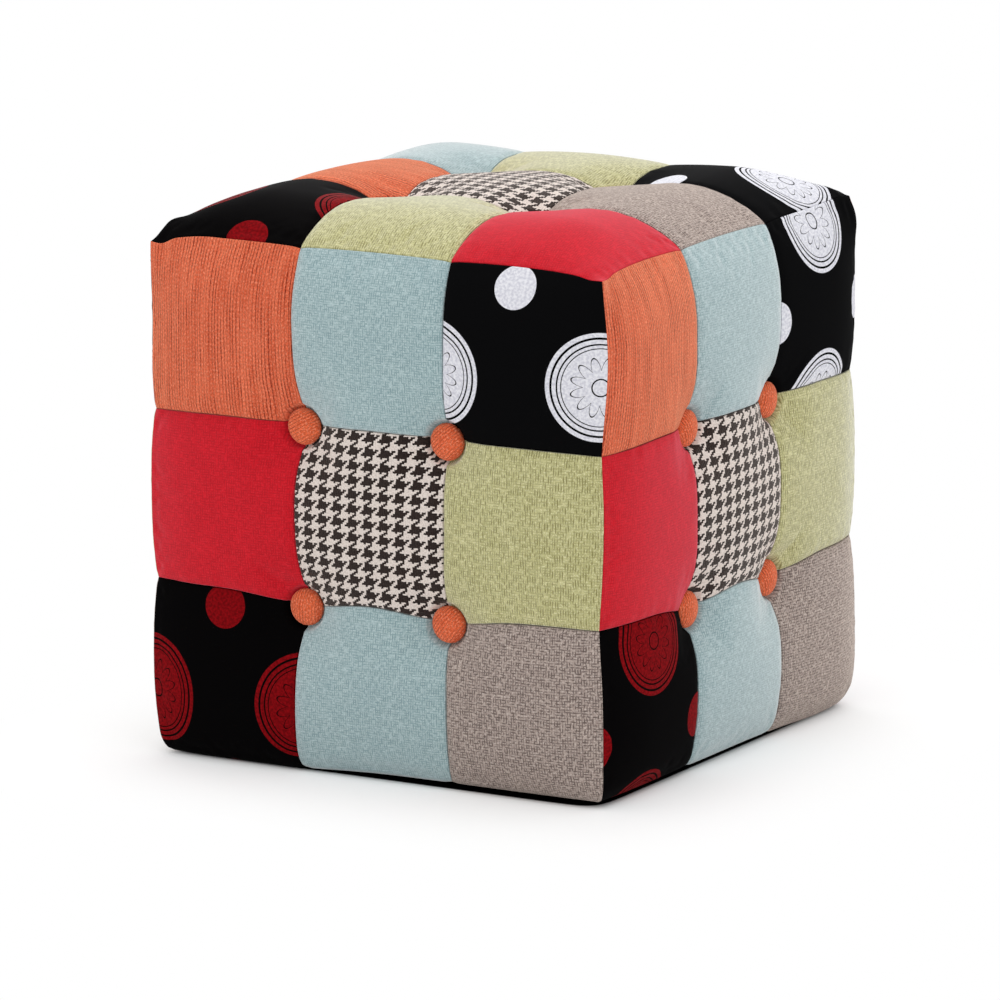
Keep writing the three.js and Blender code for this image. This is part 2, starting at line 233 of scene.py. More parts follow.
def sideCloth(across, up):
    # points of the front cover, a share across and a share up it; below nought lies the hem
    along = 2 * across - 1
    share = np.clip(up, 0, 1)
    top = cover["top"] + topRise(along)
    height = mixed(cover["rim"], top, share)
    bow = uprightBow(share)
    width = cover["half"] + bow - rimTurn(np.ones_like(along), height)
    flat = drawnTo(np.stack((along * width, height), -1), sideCrossings, sideButtons)
    fromSide = swellAt(cover["half"] * (1 - np.abs(along)), sideTuft["run"])
    fromTop = swellAt(top - height, sideTuft["run"])
    swell = fromSide * fromTop * swellAt(height - cover["rim"], sideTuft["run"])
    relief = tufted(sideTuft, swell, crownAt(across) * crownAt(share), flat, sideButtons)
    edges = bow * (1 - fromSide) - topInset(along) * (1 - fromTop) - rimTurn(along, height)
    points = np.stack((flat[..., 0], -(cover["half"] + edges + relief), flat[..., 1]), -1)
    hem = np.clip(-up, 0, 1)[..., None]
    inward, floorward = (np.full_like(along, value) for value in (-cover["hemInner"], cover["rim"]))
    return mixed(points, np.stack((along * cover["hemInner"], inward, floorward), -1), hem)


def seatCloth(across, deep):
    # points of the top cover, a share across and a share back
    along, back = 2 * across - 1, 2 * deep - 1
    fromSide = swellAt(cover["half"] * (1 - np.abs(along)), seatTuft["run"])
    fromFront = swellAt(cover["half"] * (1 - np.abs(back)), seatTuft["run"])
    x = along * cover["half"] - np.sign(along) * topInset(back) * (1 - fromSide)
    y = back * cover["half"] - np.sign(back) * topInset(along) * (1 - fromFront)
    flat = drawnTo(np.stack((x, y), -1), seatCrossings, seatButtons)
    edges = topRise(along) * (1 - fromFront) + topRise(back) * (1 - fromSide)
    relief = tufted(seatTuft, fromSide * fromFront, crownAt(across) * crownAt(deep), flat, seatButtons)
    return np.stack((flat[..., 0], flat[..., 1], cover["top"] + edges + relief), -1)


def withEars(points):
    # beside its corners the top edge dips where the seam allowances bunch
    half, place = cover["half"], cover["half"] - cover["earPlace"]
    mirrored = np.abs(points)
    for ear in ((place, half, cover["top"]), (half, place, cover["top"])):
        near = np.exp(-(np.linalg.norm(mirrored - ear, axis=-1) / cover["earSpread"]) ** 2)
        points[..., 2] -= cover["earDip"] * near
    return points


# The padding's swell, from a short cloth simulation of each face

swelling = {
    "cells": 78,  # squares across a face, a multiple of three
    "frames": 20,
    "seamHold": 0.5,
    "seamReach": 0.6,  # in squares
    "buttonHold": 15 * mm,
    "cap": 2.2 * mm,  # the most a point may move
    "shrunk": 0.6 * mm,  # the sheets start this much inside
    "seed": 11,
}
stretch = {
    "quality": 6,
    "mass": 0.3,
    "tension_stiffness": 14,
    "compression_stiffness": 14,
    "shear_stiffness": 14 / 3,
    "bending_stiffness": 0.35,
    "use_pressure": True,
    "uniform_pressure_force": 6,
    "shrink_min": -0.006,  # cloth sewn in beyond the plain shape, at the most
    "shrink_max": 0,
}
plainCloth = perFace(sideCloth, seatCloth)
outward = perFace(np.array((0, -1, 0)), np.array((0, 0, 1)))


def simulatedSheet(face, chance):
    # one face's cloth, held at its edges, seams and buttons
    cells = swelling["cells"]
    bm = bmesh.new()
    bmesh.ops.create_grid(bm, x_segments=cells, y_segments=cells, size=1)
    mesh = bpy.data.meshes.new(face + "_sheet")
    bm.to_mesh(mesh)
    bm.free()
    shares = gridShares(mesh)
    start = plainCloth[face](shares[:, 0], shares[:, 1]) - outward[face] * swelling["shrunk"]
    mesh.vertices.foreach_set("co", start.ravel())
    sheet = bpy.data.objects.new(face + "_sheet", mesh)
    bpy.context.scene.collection.objects.link(sheet)
    held, taut = sheet.vertex_groups.new(name="held"), sheet.vertex_groups.new(name="taut")
    flat = start[:, flatAxes[face]]
    atButton = np.min([np.linalg.norm(flat - place, axis=1) for place in buttonsOf[face]], axis=0)
    reach = swelling["seamReach"] / cells
    edge = np.any((shares < reach) | (shares > 1 - reach), axis=1)
    seam = np.any([np.abs(shares - line) < reach for line in cover["seams"]], axis=(0, 2))
    hold = np.where(edge | (atButton < swelling["buttonHold"]), 1, np.where(seam, swelling["seamHold"], 0))
    ease = chance.random((3, 3))
    patch = np.clip((shares * 3).astype(int), 0, 2)
    for index in range(len(hold)):
        held.add([index], float(hold[index]), "REPLACE")
        taut.add([index], float(ease[patch[index, 1], patch[index, 0]]), "REPLACE")
    cloth = sheet.modifiers.new("cloth", "CLOTH")
    settings = cloth.settings
    for name, value in stretch.items():
        setattr(settings, name, value)
    settings.vertex_group_mass = held.name
    settings.vertex_group_shrink = taut.name
    settings.effector_weights.gravity = 0
    cloth.collision_settings.use_collision = False
    cloth.point_cache.frame_start, cloth.point_cache.frame_end = 1, swelling["frames"]
    return sheet, start, np.rint(shares * cells).astype(int)


def swelledOffsets():
    # how far each face's cloth moves, as a grid of offsets
    size = swelling["cells"] + 1
    chance = np.random.default_rng(swelling["seed"])
    sheets = {face: simulatedSheet(face, chance) for face in faceNames}
    scene = bpy.context.scene
    for number in range(1, swelling["frames"] + 1):
        scene.frame_set(number)
    offsets = {}
    graph = bpy.context.evaluated_depsgraph_get()
    for face, (sheet, start, places) in sheets.items():
        ended = sheet.evaluated_get(graph)
        moved = coordinates(ended.to_mesh()) - start
        ended.to_mesh_clear()
        length = np.linalg.norm(moved, axis=1, keepdims=True) + 1e-9
        capped = moved / length * swelling["cap"] * np.tanh(length / swelling["cap"])
        grid = np.zeros((size, size, 3))
        grid[places[:, 1], places[:, 0]] = capped - outward[face] * swelling["shrunk"] * np.tanh(length / mm)
        offsets[face] = grid
    scene.frame_set(1)
    for sheet, *rest in sheets.values():
        bpy.data.objects.remove(sheet)
    return offsets


def curveWeights(share):
    # weights of four neighbouring grid values in a smooth curve through them
    return (
        ((2 - share) * share - 1) * share / 2,
        ((3 * share - 5) * share * share + 2) / 2,
        ((4 - 3 * share) * share + 1) * share / 2,
        (share - 1) * share * share / 2,
    )


def readGrid(grid, across, up):
    last = grid.shape[0] - 1
    x, y = np.clip(across, 0, 1) * last, np.clip(up, 0, 1) * last
    column, row = (np.clip(np.floor(value).astype(int), 0, last - 1) for value in (x, y))
    total = np.zeros((*np.shape(across), 3))
    for above, rowWeight in enumerate(curveWeights(y - row), -1):
        for right, columnWeight in enumerate(curveWeights(x - column), -1):
            value = grid[np.clip(row + above, 0, last), np.clip(column + right, 0, last)]
            total += value * (rowWeight * columnWeight)[..., None]
    return total


offsets = swelledOffsets()
print("padding swelled")


# Small irregularities of hand sewing

sewing = {
    "roll": 0.36 * mm,  # radius at which the cloth turns into a seam
    "valley": 0.75 * mm,
    "valleySpan": 3.6 * mm,
    "wander": 0.45 * mm,  # how far a seam strays from its line
    "wanderWaves": ((3, 0, 3, 0), (9, 6.28, 9, 6.28)),  # least and most of their lengths and phases
    "wanderFade": 12,
    "wanderMost": 1.7,  # about what three waves add up to
    "pucker": 0.14 * mm,
    "puckerFade": 7 * mm,
    "puckerWaves": (17, 23, 31),  # along one face
    "puckerStart": 1.5 * mm,
    "twineHole": 1.8 * mm,
    "twineReach": 4.5 * mm,  # padding within this is pushed outwards
    "wellRun": 3.2 * mm,  # from a button's edge up to the full padding
    "wellGap": 0.3 * mm,
    "rollSteps": (0.02, 0.07, 0.16, 0.32, 0.62, 1.1, 1.8),  # millimetres from a seam
    "nearStep": 0.95 * mm,
    "nearReach": 17 * mm,
    "farStep": 2 * mm,
    "hemSteps": 9,
    "straight": 0.95,  # how far the weave keeps straight where a patch's borders bend
    "margin": 50 * mm,  # more than a patch reaches past its middle lines' ends
}


def wander(face, across, up):
    # slow waves in the sheet, the same for both sides of a seam
    chance = np.random.default_rng(100 + faceNames.index(face))
    waves = chance.uniform(*sewing["wanderWaves"], (6, 4))
    inside = np.minimum.reduce((across, 1 - across, np.clip(up, 0, 1), 1 - up))
    fade = np.clip(inside * sewing["wanderFade"], 0, 1)
    shift = [sum(np.sin(a * across * 2 + b + sign * up) * np.sin(c * up * 2 + d)
                 for a, b, c, d in waves[first:first + 3]) for first, sign in ((0, 1), (3, -1))]
    return [one * fade * sewing["wander"] / sewing["wanderMost"] for one in shift]


def loosePoints(face, across, up):
    # the cloth between its seams, in the front side's own place
    points = plainCloth[face](across, up) + readGrid(offsets[face], across, up) * (up >= 0)[..., None]
    for axis, shift in zip(flatAxes[face], wander(face, across, up)):
        points[..., axis] += shift
    return withEars(points)


def normals(face, across, up):
    small = 2e-4
    right = loosePoints(face, across + small, up) - loosePoints(face, across - small, up)
    above = loosePoints(face, across, up + small) - loosePoints(face, across, up - small)
    out = np.cross(right, above)
    return out / (np.linalg.norm(out, axis=-1, keepdims=True) + 1e-12)


def pierced(points, face):
    # cloth and padding make way for each button's twine
    axes, hole, reach = flatAxes[face], sewing["twineHole"], sewing["twineReach"]
    for place in buttonsOf[face]:
        away = points[..., axes] - place
        distance = np.linalg.norm(away, axis=-1, keepdims=True)
        pushed = place + away / np.maximum(distance, 1e-9) * (hole + distance * (reach - hole) / reach)
        for number, axis in enumerate(axes):
            points[..., axis] = np.where(distance[..., 0] < reach, pushed[..., number], points[..., axis])
    return points


def seated(points, face):
    # the cloth lies under each button's cap and rises again beside it
    axis, sign = outAxis[face]
    cap, gap = buttonCaps[face], sewing["wellGap"]
    under = cap["under"] - gap
    for place in buttonsOf[face]:
        distance = np.linalg.norm(points[..., flatAxes[face]] - place, axis=-1)
        rise = smooth((distance - cap["radius"] - gap) / sewing["wellRun"])
        level = points[..., axis] * sign
        points[..., axis] = sign * np.where(rise < 1, mixed(np.minimum(under, level), level, rise), level)
    return points


def backPoints(face, across, up):
    # the flat side of the padding, on the foam, and the upper side of the hem
    along = 2 * across - 1
    if face == "top":
        flat = np.stack((along, 2 * up - 1), -1) * cover["backHalf"]
        flat = drawnTo(flat, seatCrossings * cover["backHalf"] / cover["half"], seatButtons)
        return np.stack((flat[..., 0], flat[..., 1], np.full_like(along, cover["backTop"])), -1)
    hem = np.clip(-up, 0, 1)
    depth = mixed(cover["backHalf"], cover["hemInner"], hem)
    height = mixed(cover["hemTop"], cover["backTop"], np.clip(up, 0, 1))
    inner = crossings(cover["backHalf"], cover["hemTop"], cover["backTop"])
    flat = drawnTo(np.stack((along * depth, height), -1), inner, sideButtons)
    return np.stack((flat[..., 0], -depth, flat[..., 1]), -1)


buttonLook = {
    "capHeight": 7 * mm,
    "edgeRadius": 1.15 * mm,
    "ring": 72,  # points round the cap
    "domeSteps": 16,
    "domePower": 0.92,
    "twineRadius": 1.5 * mm,
    "twineTop": 0.5 * mm,  # its end inside the cap
    "twineRing": 10,
    "washerRadius": 7 * mm,
    "washerRing": 28,
    "washerThickness": 2 * mm,
    "pleats": 22,
    "pleatDepth": 0.12 * mm,
    "pleatStart": 0.8,  # share of the radius from which they deepen
    "pleatGrowth": 5,
}


def capOf(name, axis, sign):
    # a cap's radius, and how far out its underside lies
    low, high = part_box(name)
    across = [high[other] - low[other] for other in range(3) if other != axis]
    top = high[axis] if sign > 0 else -low[axis]
    return {"under": top - buttonLook["capHeight"], "radius": max(across) / 2}


buttonCaps = perFace(capOf("front_button_upper_left", *outAxis["front"]),
                     capOf("top_button_front_left", *outAxis["top"]))


# Sewn patches

sidePatches = (  # from the bottom row up, each from left to right
    ("blackRed", "blue", "taupe"),
    ("red", "houndstooth", "olive"),
    ("orange", "blue", "blackSilver"),
)
topPatches = (  # from the front row back
    ("blackRed", "olive", "red"),
    ("orangeAcross", "houndstooth", "taupe"),
    ("blue", "olive", "blackSilver"),
)


def stepsBetween(start, end, length, seamAtStart=True):
    # shares of a face from one seam to the next, closest together beside the seams
    width = (end - start) * length
    rolls = [value * mm for value in sewing["rollSteps"]]
    close = np.arange(rolls[-1] + sewing["nearStep"], sewing["nearReach"], sewing["nearStep"])
    first = [*rolls, *close] if seamAtStart else [0]
    last = [width - value for value in (*reversed(close), *reversed(rolls))]
    count = max(2, round((last[0] - first[-1]) / sewing["farStep"]))
    middle = np.linspace(first[-1], last[0], count + 1)[1:-1]
    return start + np.array([*first, *middle, *last]) / length


def rolledIn(distance):
    # how deep the cloth has turned in, at a distance from the seam's line
    inside = np.clip(sewing["roll"] - distance, 0, sewing["roll"])
    return sewing["roll"] - np.sqrt(sewing["roll"] ** 2 - inside ** 2)


def valley(distance):
    return sewing["valley"] * np.exp(-(distance / sewing["valleySpan"]) ** 2)


def seamPuckers(face, distance, along, number):
    chance = np.random.default_rng(300 + faceNames.index(face) * 10 + number)
    waves = sum(np.sin(2 * math.pi * (wave + chance.random()) * along + 6.28 * chance.random())
                for wave in sewing["puckerWaves"])
    ripple = sewing["pucker"] * waves * np.exp(-distance / sewing["puckerFade"])
    return ripple * smooth(distance / sewing["puckerStart"])


def sewnIn(points, face, across, up, column, row):
    # a patch's borders, turned into its seams
    side = face != "top"
    span, rise = 2 * cover["half"], faceRise[face]
    right, rising = np.array((1, 0, 0)), np.array((0, 0, 1) if side else (0, 1, 0))
    out = np.where((up < 0)[..., None], (0, 0, -1), normals(face, across, np.maximum(up, 0)))
    borders = (  # the distance from each, the way in from it, its line's number and the places along it
        ((across - column / 3) * span, right, column, up),
        (((column + 1) / 3 - across) * span, -right, column + 1, up),
        ((up - row / 3) * rise, rising, row + 4, across),
        (((row + 1) / 3 - up) * rise, -rising, row + 5, across),
    )
    for distance, inward, line, along in borders:
        if side and line == 4:
            continue  # the rim is a fold and no seam
        atEdge = line % 4 in (0, 3)
        mitre = (inward - outward[face]) / math.sqrt(2)
        turnedIn = rolledIn(distance) + (0 if atEdge else valley(distance))
        points += (mitre if atEdge else -out) * turnedIn[..., None]
        points += out * seamPuckers(face, distance, along, line)[..., None]
    return points


def patchGrid(face, column, row):
    # shares of the face at which a patch has its points
    across = stepsBetween(column / 3, (column + 1) / 3, 2 * cover["half"])
    rim = face != "top" and row == 0
    up = stepsBetween(row / 3, (row + 1) / 3, faceRise[face], seamAtStart=not rim)
    return across, np.concatenate((np.linspace(-1, 0, sewing["hemSteps"])[:-1], up)) if rim else up


def clothLength(line):
    steps = np.linalg.norm(np.diff(line, axis=0), axis=1)
    length = np.concatenate(((0,), np.cumsum(steps)))
    return length - length[-1] / 2


def extended(values):
    margin = sewing["margin"]
    return np.concatenate(((values[0] - margin,), values, (values[-1] + margin,)))


def weavePlaces(points, sideways, upwards, inHem):
    # where each point lies in its piece of cloth, measured along the patch's middle lines
    rows, columns = sideways.shape
    u, v = clothLength(points[rows // 2]), clothLength(points[:, columns // 2])
    first = int(inHem[:, 0].sum())
    straightU = np.interp(sideways, extended(sideways[rows // 2]), extended(u))
    straightV = np.interp(upwards, extended(upwards[first:, columns // 2]), extended(v[first:]))
    straightV = np.where(inHem, v[:, None], straightV)
    share = sewing["straight"]
    return mixed(u[None, :], straightU, share), mixed(v[:, None], straightV, share)


def patchPoints(face, column, row, across, up):
    acrossGrid, upGrid = np.meshgrid(across, up)
    outer = loosePoints(face, acrossGrid, upGrid)
    u, v = weavePlaces(outer, *(outer[..., axis] for axis in flatAxes[face]), upGrid < 0)
    outer = seated(sewnIn(outer, face, acrossGrid, upGrid, column, row), face)
    inner = backPoints(face, acrossGrid, upGrid)
    return pierced(outer, face), pierced(inner, face), u, v


strays = (  # where the padding strays from its plain shape: place, shift and spread in millimetres
    ((165, -165, 285), (3, 2.6, 0), 42),
    ((165, -165, 185), (0.8, 0.6, 0), 30),
    ((165, -165, 110), (-1.2, -0.8, 0), 30),
    ((-165, -165, 285), (3, 0, 0), 42),
    ((-165, -165, 335), (0, 0, -1.6), 9),
    ((-157, -167, 337), (0, 0, -4), 7),
    ((-144, -167, 340), (0, 0, -1.4), 12),
    ((-161, -150, 341), (0, 0, 5), 11),
    ((-140, -140, 345), (0, 0, 3), 24),
    ((-110, -55, 350), (0, 0, 3), 45),
    ((-125, 140, 345), (0, 0, -1), 35),
    ((150, 150, 345), (0, 0, 4), 26),
    ((158, 158, 340), (0, 0, 2.6), 12),
    ((165, 165, 322), (1.2, 1.2, 0), 12),
    ((165, 165, 338), (-1.8, -1.8, 1.2), 7),
    ((-165, -165, 0), (6, 0, 0), 35),
    ((-150, -165, 4), (0, -4, -2.3), 50),
    ((-70, -165, 4), (0, -4, -2.3), 50),
    ((165, 125, 6), (2, 0, -2), 50),
    ((165, 165, 0), (-3, -3, -1), 17),
)


def strayed(points, hold):
    # the shifts fade where the hem lies under the frame
    for place, shift, spread in strays:
        near = np.exp(-(np.linalg.norm(points - np.array(place) * mm, axis=-1) / (spread * mm)) ** 2)
        points = points + np.array(shift) * mm * (near * hold)[..., None]
    return points


def joinFlats(bm, inner, rows, foldRow):
    # the flat back becomes one face and the hem's upper side another, each cut into even triangles
    back = [one for one in bm.faces if all(vert.index >= inner for vert in one.verts)]
    inHem = [bool(foldRow) and all(rows[vert.index] <= foldRow for vert in one.verts) for one in back]
    flats = []
    for part in (False, True):
        faces = [one for one, isHem in zip(back, inHem) if isHem == part]
        if faces:
            flats += bmesh.ops.dissolve_faces(bm, faces=faces, use_verts=False)["region"]
    bmesh.ops.triangulate(bm, faces=flats, quad_method="BEAUTY", ngon_method="BEAUTY")


def sewnPatch(face, column, row, fabric):
    across, up = patchGrid(face, column, row)
    outer, inner, u, v = patchPoints(face, column, row, across, up)
    quarters = sideNames.index(face) if face in sideNames else 0
    hold = np.clip(1 + 3 * up, 0, 1)[:, None]
    outer, inner = strayed(turned(outer, quarters), hold), turned(inner, quarters)

    bm = bmesh.new()
    bmesh.ops.create_grid(bm, x_segments=len(across) - 1, y_segments=len(up) - 1, size=1)
    count = len(bm.verts)
    bmesh.ops.extrude_face_region(bm, geom=bm.faces[:], use_keep_orig=True)
    draft = bpy.data.meshes.new("draft")
    bm.to_mesh(draft)
    columns, rows = np.rint(gridShares(draft) * (len(across) - 1, len(up) - 1)).astype(int).T
    behind = np.arange(len(rows)) >= count
    points = np.where(behind[:, None], inner[rows, columns], outer[rows, columns])
    draft.vertices.foreach_set("co", points.ravel())
    corners = np.zeros(len(draft.loops), np.int32)
    draft.loops.foreach_get("vertex_index", corners)
    cloth = np.stack([place[rows[corners], columns[corners]] for place in (u, v)], -1) / mm
    draft.uv_layers.new(name="cloth").data.foreach_set("uv", (cloth + fabricShift(face, column, row)).ravel())
    bm.clear()
    bm.from_mesh(draft)
    bpy.data.meshes.remove(draft)
    joinFlats(bm, count, rows, sewing["hemSteps"] - 1 if face != "top" and row == 0 else 0)
    bmesh.ops.recalc_face_normals(bm, faces=bm.faces[:])
    name = f"{face}_patch_{rowNames[face][row]}_{columnNames[column]}"
    piece = placed(name, bm, [cloths[fabric]])
    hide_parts(face + "_cover")


def fabricShift(face, column, row):
    # where in its bolt each patch was cut, in millimetres
    chance = random.Random(faceNames.index(face) * 9 + row * 3 + column + 40)
    return chance.uniform(-60, 60), chance.uniform(-60, 60)


# Materials: numbers that vary over a surface are sums of wires

def feed(tree, socket, value):
    # a wire is linked and a number set
    if isinstance(value, Wire):
        tree.links.new(value.socket, socket)
    else:
        socket.default_value = value


def operation(kind, swapped=False):
    return lambda wire, other: wire.maths(kind, *((other, wire) if swapped else (wire, other)))


class Wire:
    # one socket of a material's nodes, which takes part in sums
    def __init__(self, tree, socket=None):
        self.tree, self.socket = tree, socket

    def node(self, kind, settings=None, inputs=None, output=0):
        made = self.tree.nodes.new("ShaderNode" + kind)
        for name, value in (settings or {}).items():
            setattr(made, name, value)
        for name, value in (inputs or {}).items():
            feed(self.tree, made.inputs[name], value)
        return Wire(self.tree, made.outputs[output])

    def maths(self, kind, *values):
        return self.node("Math", {"operation": kind}, dict(enumerate(values)))

    def split(self):
        parts = self.node("SeparateXYZ", inputs={0: self}).socket.node
        return [Wire(self.tree, output) for output in parts.outputs]

    __add__ = __radd__ = operation("ADD")
    __mul__ = __rmul__ = operation("MULTIPLY")
    __sub__, __rsub__ = operation("SUBTRACT"), operation("SUBTRACT", swapped=True)
    __truediv__, __mod__, __pow__ = operation("DIVIDE"), operation("FLOORED_MODULO"), operation("POWER")
    __lt__, __gt__ = operation("LESS_THAN"), operation("GREATER_THAN")
    greater, lesser = operation("MAXIMUM"), operation("MINIMUM")

    def __abs__(self):
        return self.maths("ABSOLUTE", self)

    def floor(self):
        return self.maths("FLOOR", self)

    def wave(self, length):
        # from nought to one and back once in each length
        return self.maths("COSINE", self * (2 * math.pi / length)) * -0.5 + 0.5

    def eased(self, low, high):
        return self.node("MapRange", {"interpolation_type": "SMOOTHSTEP"}, {0: self, 1: low, 2: high})


def paint(red, green, blue):
    # a colour as it is seen on a screen, from 0 to 255
    values = [value / 255 for value in (red, green, blue)]
    return (*(v / 12.92 if v < 0.04045 else ((v + 0.055) / 1.055) ** 2.4 for v in values), 1)


def colourMix(share, first, second):
    return share.node("Mix", {"data_type": "RGBA"}, {0: share, 6: first, 7: second}, output=2)


def flecks(u, v, wide, tall, seed, detail=1.0):
    # soft spots of about that size in millimetres
    place = u.node("CombineXYZ", inputs={0: u / wide, 1: v / tall, 2: seed})
    return u.node("TexNoise", inputs={"Vector": place, "Scale": 1.0, "Detail": detail})


def blankMaterial(name):
    material = bpy.data.materials.new(name)
    material.use_nodes = True
    return material, Wire(material.node_tree)


def dressed(material, inputs):
    shader = material.node_tree.nodes["Principled BSDF"]
    for name, value in inputs.items():
        feed(material.node_tree, shader.inputs[name], value)
    return material


def bumped(height, look):
    depth = look["relief"] * mm
    return height.node("Bump", inputs={"Strength": look["bump"], "Distance": depth, "Height": height})


def clothMaterial(name, weave, look):
    # the weave gives colour, height and roughness from the cut's own millimetres
    material, start = blankMaterial(name)
    u, v, _ = start.node("UVMap", {"uv_map": "cloth"}).split()
    colour, height, roughness = weave(u, v, look)
    return dressed(material, {
        "Base Color": colour,
        "Normal": bumped(height, look),
        "Roughness": roughness,
        "Specular IOR Level": look.get("specular", 0.15),
        "Sheen Weight": look.get("sheen", 0),
        "Sheen Tint": look.get("sheenTint", paint(255, 255, 255)),
    })


def cordWeave(u, v, look):
    # uneven ribs along v with dark lines between them, painted shade in the grooves together with darker
    # stitches, in streaks of lighter and darker yarn
    across = u + (flecks(u, v, 5, 80, 2) - 0.5) * look["pitch"]
    between = 1 - across.wave(look["pitch"]).eased(0, 0.4)
    clear = flecks(u, v, 11, 30, 6, 2).eased(0.36, 0.6)  # where the ribs stand out
    stitch = flecks(across, v, look["pitch"] * 0.4, look["stitch"], 7).eased(0.44, 0.56)
    streak = flecks(u, v, 6, 60, 3, 2).eased(0.32, 0.68)
    pale = flecks(u, v, 0.7, 1.5, 8).eased(0.5, 0.62)
    # painted shade: the groove between ribs is darkened, along with the darker stitch yarn
    dark = (between * (clear * 0.55 + 0.45) * (stitch * 0.4 + 0.6)).greater(stitch * look["dashes"])
    colour = colourMix(streak, look["main"], look["light"])
    colour = colourMix(pale * 0.5, colour, look["pale"])
    colour = colourMix(dark * look["contrast"], colour, look["dark"])
    return colour, 1 - between * 0.7 - stitch * 0.3, 0.92


def yarnWeave(u, v, look):
    # a fine plain weave: broken dark lines both ways of the cloth, the yarn's darker tone together with
    # painted shade in the gaps between threads, and pale flecks
    pitch, slub = look["pitch"], look["slub"]
    drift = (flecks(u, v, 14, 14, 5) - 0.5) * pitch
    warp = (1 - (u + drift).wave(pitch)) * flecks(u, v, pitch, slub, 4).eased(0.38, 0.6) * look["warpShare"]
    weft = (1 - (v - drift).wave(pitch)) * flecks(u, v, slub, pitch, 9).eased(0.38, 0.6) * look["weftShare"]
    cloud = flecks(u, v, 14, 22, 6, 2).eased(0.3, 0.7)
    pale = flecks(u, v, pitch * 0.5, pitch * 0.6, 14).eased(0.52, 0.66)
    # painted shade: dark where the threads part and the height is low, along with the yarn's own darker tone
    dark = warp.greater(weft)
    colour = colourMix(cloud, look["main"], look["soft"])
    colour = colourMix(pale * look["flecks"], colour, look["light"])
    colour = colourMix(dark * look["contrast"], colour, look["dark"])
    return colour, 1 - dark, 0.95


def threadNumber(place, look, way):
    # four dark threads in the first share of each repeat and four pale ones in the rest
    along = (place / look["repeat"][way]) % 1
    dark = look["darkShare"]
    return along.lesser(dark) * (4 / dark) + (along - dark).greater(0) * (4 / (1 - dark))


def checkWeave(u, v, look):
    # a two and two twill of dark and pale threads both ways
    uneven = (flecks(u, v, 1.2, 1.2, 5) - 0.5) * 0.9
    across, up = threadNumber(u + uneven, look, 0), threadNumber(v + uneven, look, 1)
    warp, weft = across.floor(), up.floor()
    over = ((warp - weft) % 4) < 1.5
    dark = over * (warp < 3.5) + (1 - over) * (weft < 3.5)
    grain = flecks(u, v, 0.8, 1.1, 8).eased(0.3, 0.7)
    colour = colourMix(dark, colourMix(grain, look["main"], look["light"]),
                       colourMix(grain, look["deep"], look["dark"]))
    ridge = (across % 1).wave(1) * over + (up % 1).wave(1) * (1 - over)
    return colour, ridge * 0.8 + grain * 0.3, 0.93


def discPrint(u, v, look):
    # large ringed discs in rows, with a plain dot in the middle of every four
    wide, tall = look["pitch"]
    x, y = u % wide - wide / 2, v % tall - tall / 2
    far = (x * x + y * y) ** 0.5
    petal = abs(far.maths("SINE", far.maths("ARCTAN2", y, x) * (look["petals"] / 2)))
    ink = far < look["disc"]
    for radius, width in look["rings"]:
        ink = ink * (abs(far - radius) > width / 2)
    ink = ink * (abs(far - petal * look["petalLength"] - look["flower"]) > look["flowerLine"] / 2)
    x, y = (u + wide / 2) % wide - wide / 2, (v + tall / 2) % tall - tall / 2
    ink = ink.greater((x * x + y * y) ** 0.5 < look["dot"])
    mottle = flecks(u, v, 1.8, 1.8, 3, 2).eased(0.3, 0.7)
    thread = flecks(u, v, 0.7, 0.7, 5, 1)
    colour = colourMix(ink, colourMix(thread, look["ground"], look["thread"]),
                       colourMix(mottle, look["shade"], look["print"]))
    roughness = ink * (look["printRoughness"] - look["roughness"]) + look["roughness"]
    return colour, ink * 0.3 + thread * 0.5, roughness


